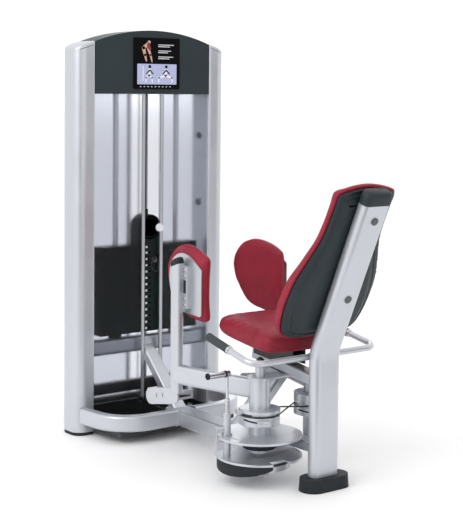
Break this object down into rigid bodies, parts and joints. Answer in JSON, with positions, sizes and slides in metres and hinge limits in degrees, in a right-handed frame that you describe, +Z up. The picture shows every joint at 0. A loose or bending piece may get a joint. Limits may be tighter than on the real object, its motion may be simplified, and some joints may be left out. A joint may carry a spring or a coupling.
{
  "type": "hip abductor machine",
  "caption": "Seated hip abductor machine: padded seat and backrest, two swinging arms with thigh pads, and a weight-stack tower that the arms lift.",
  "frame": {"origin": "middle of the footprint's bounding box, on the floor", "axes": "+Z up, +X to the seated user's right, +Y the way the user faces, towards the weight tower"},
  "size_m": [0.808, 1.6376, 1.8],
  "materials": {
    "silver_paint": "satin",
    "black_paint": "satin",
    "slate_plastic": "fine grain",
    "placard_film": "satin",
    "clear_plastic": "frosted",
    "plug_plastic": "matte",
    "black_iron": "painted",
    "bright_steel": "polished",
    "rubber": "matte",
    "cable_jacket": "smooth",
    "pin_plastic": "gloss",
    "red_vinyl": "fine grain"
  },
  "bodies": {
    "frame": {"left_column": "silver_paint", "right_column": "silver_paint", "column_caps": "silver_paint", "column_feet": "rubber", "top_cover": "slate_plastic", "front_panel": "slate_plastic", "rear_panel": "slate_plastic", "placard": "placard_film", "stack_shields": "clear_plastic", "lower_cross_tube": "silver_paint", "tower_cross_tubes": "black_paint", "guide_rods": "bright_steel", "stack_bumpers": "rubber", "base_pan": "black_paint", "frame_plugs": "plug_plastic", "resting_weights": "black_iron", "pulley_mounts": "bright_steel", "drive_cable": "cable_jacket", "rear_upright": "silver_paint", "upright_boot": "rubber", "upright_cap": "rubber", "main_beam": "silver_paint", "base_tubes": "silver_paint", "diagonal_brace": "silver_paint", "seat_strut": "silver_paint", "seat_beam": "silver_paint", "lower_frame_tube": "silver_paint", "upper_pivot_bridge": "silver_paint", "pivot_shafts": "bright_steel", "seat_cushion": "red_vinyl", "seat_pan": "black_paint", "back_shell": "slate_plastic", "back_pad": "red_vinyl", "handlebar": "silver_paint", "handlebar_grips": "rubber", "coupling_cable": "cable_jacket"},
    "lifted_stack": {"lifted_weights": "black_iron", "head_plate": "black_iron", "selector_stem": "bright_steel", "addon_weight": "black_iron", "stack_cable": "cable_jacket"},
    "selector_pin": {"selector_pin": "pin_plastic"},
    "addon_knob": {"addon_knob": "bright_steel"},
    "top_pulley": {"top_pulley": "plug_plastic"},
    "bottom_pulley": {"bottom_pulley": "plug_plastic"},
    "idler_pulley": {"idler_pulley": "plug_plastic"},
    "drive_cam": {"drive_cam": "silver_paint", "plunger_housing": "silver_paint"},
    "plunger": {"plunger_rod": "bright_steel"},
    "left_arm": {"left_hub": "silver_paint", "selector_disc": "silver_paint", "left_arm": "silver_paint", "left_backing_plate": "silver_paint", "left_pad": "red_vinyl", "left_footrest": "silver_paint"},
    "right_arm": {"right_hub": "silver_paint", "right_arm": "silver_paint", "right_backing_plate": "silver_paint", "right_pad": "red_vinyl", "right_footrest": "silver_paint"}
  },
  "joints": [
    {"name": "left_arm_swing", "type": "hinge", "parent": "frame", "child": "left_arm", "pos_m": [-0.14, -0.28422, 0.345], "axis": [0, 0, 1], "range_deg": [0, 50]},
    {"name": "right_arm_swing", "type": "hinge", "parent": "frame", "child": "right_arm", "pos_m": [0.14, -0.28422, 0.345], "axis": [0, 0, 1], "range_deg": [-50, 0]},
    {"name": "drive_cam_turn", "type": "hinge", "parent": "frame", "child": "drive_cam", "pos_m": [-0.14, -0.28422, 0.088], "axis": [0, 0, 1], "range_deg": [0, 50]},
    {"name": "stack_lift", "type": "slide", "parent": "frame", "child": "lifted_stack", "axis": [0, 0, 1], "range_m": [0, 0.105], "deforming": ["stack_cable"]},
    {"name": "top_pulley_spin", "type": "hinge", "parent": "frame", "child": "top_pulley", "pos_m": [0, 0.77078, 1.565], "axis": [1, 0, 0], "range_deg": [-201, 0]},
    {"name": "bottom_pulley_spin", "type": "hinge", "parent": "frame", "child": "bottom_pulley", "pos_m": [0, 0.77078, 0.118], "axis": [1, 0, 0], "range_deg": [-201, 0]},
    {"name": "idler_pulley_spin", "type": "hinge", "parent": "frame", "child": "idler_pulley", "pos_m": [-0.03, -0.13422, 0.088], "axis": [0, 0, 1], "range_deg": [-201, 0]},
    {"name": "start_plunger_lift", "type": "slide", "parent": "drive_cam", "child": "plunger", "axis": [0, 0, 1], "range_m": [0, 0.02], "stiffness_N_per_m": 900, "springref_m": -0.012},
    {"name": "selector_pin_pull", "type": "slide", "parent": "lifted_stack", "child": "selector_pin", "axis": [0, -1, 0], "range_m": [0, 0.06]},
    {"name": "addon_knob_turn", "type": "hinge", "parent": "lifted_stack", "child": "addon_knob", "pos_m": [0.035, 0.67578, 0.905], "axis": [0, -1, 0], "range_deg": [0, 90]}
  ],
  "couplings": [
    {"joint": "right_arm_swing", "follows": "left_arm_swing", "ratio": -1},
    {"joint": "drive_cam_turn", "follows": "left_arm_swing", "ratio": 1},
    {"joint": "stack_lift", "follows": "left_arm_swing", "m_per_rad": 0.12},
    {"joint": "top_pulley_spin", "follows": "left_arm_swing", "ratio": -4},
    {"joint": "bottom_pulley_spin", "follows": "left_arm_swing", "ratio": -4},
    {"joint": "idler_pulley_spin", "follows": "left_arm_swing", "ratio": -4}
  ]
}
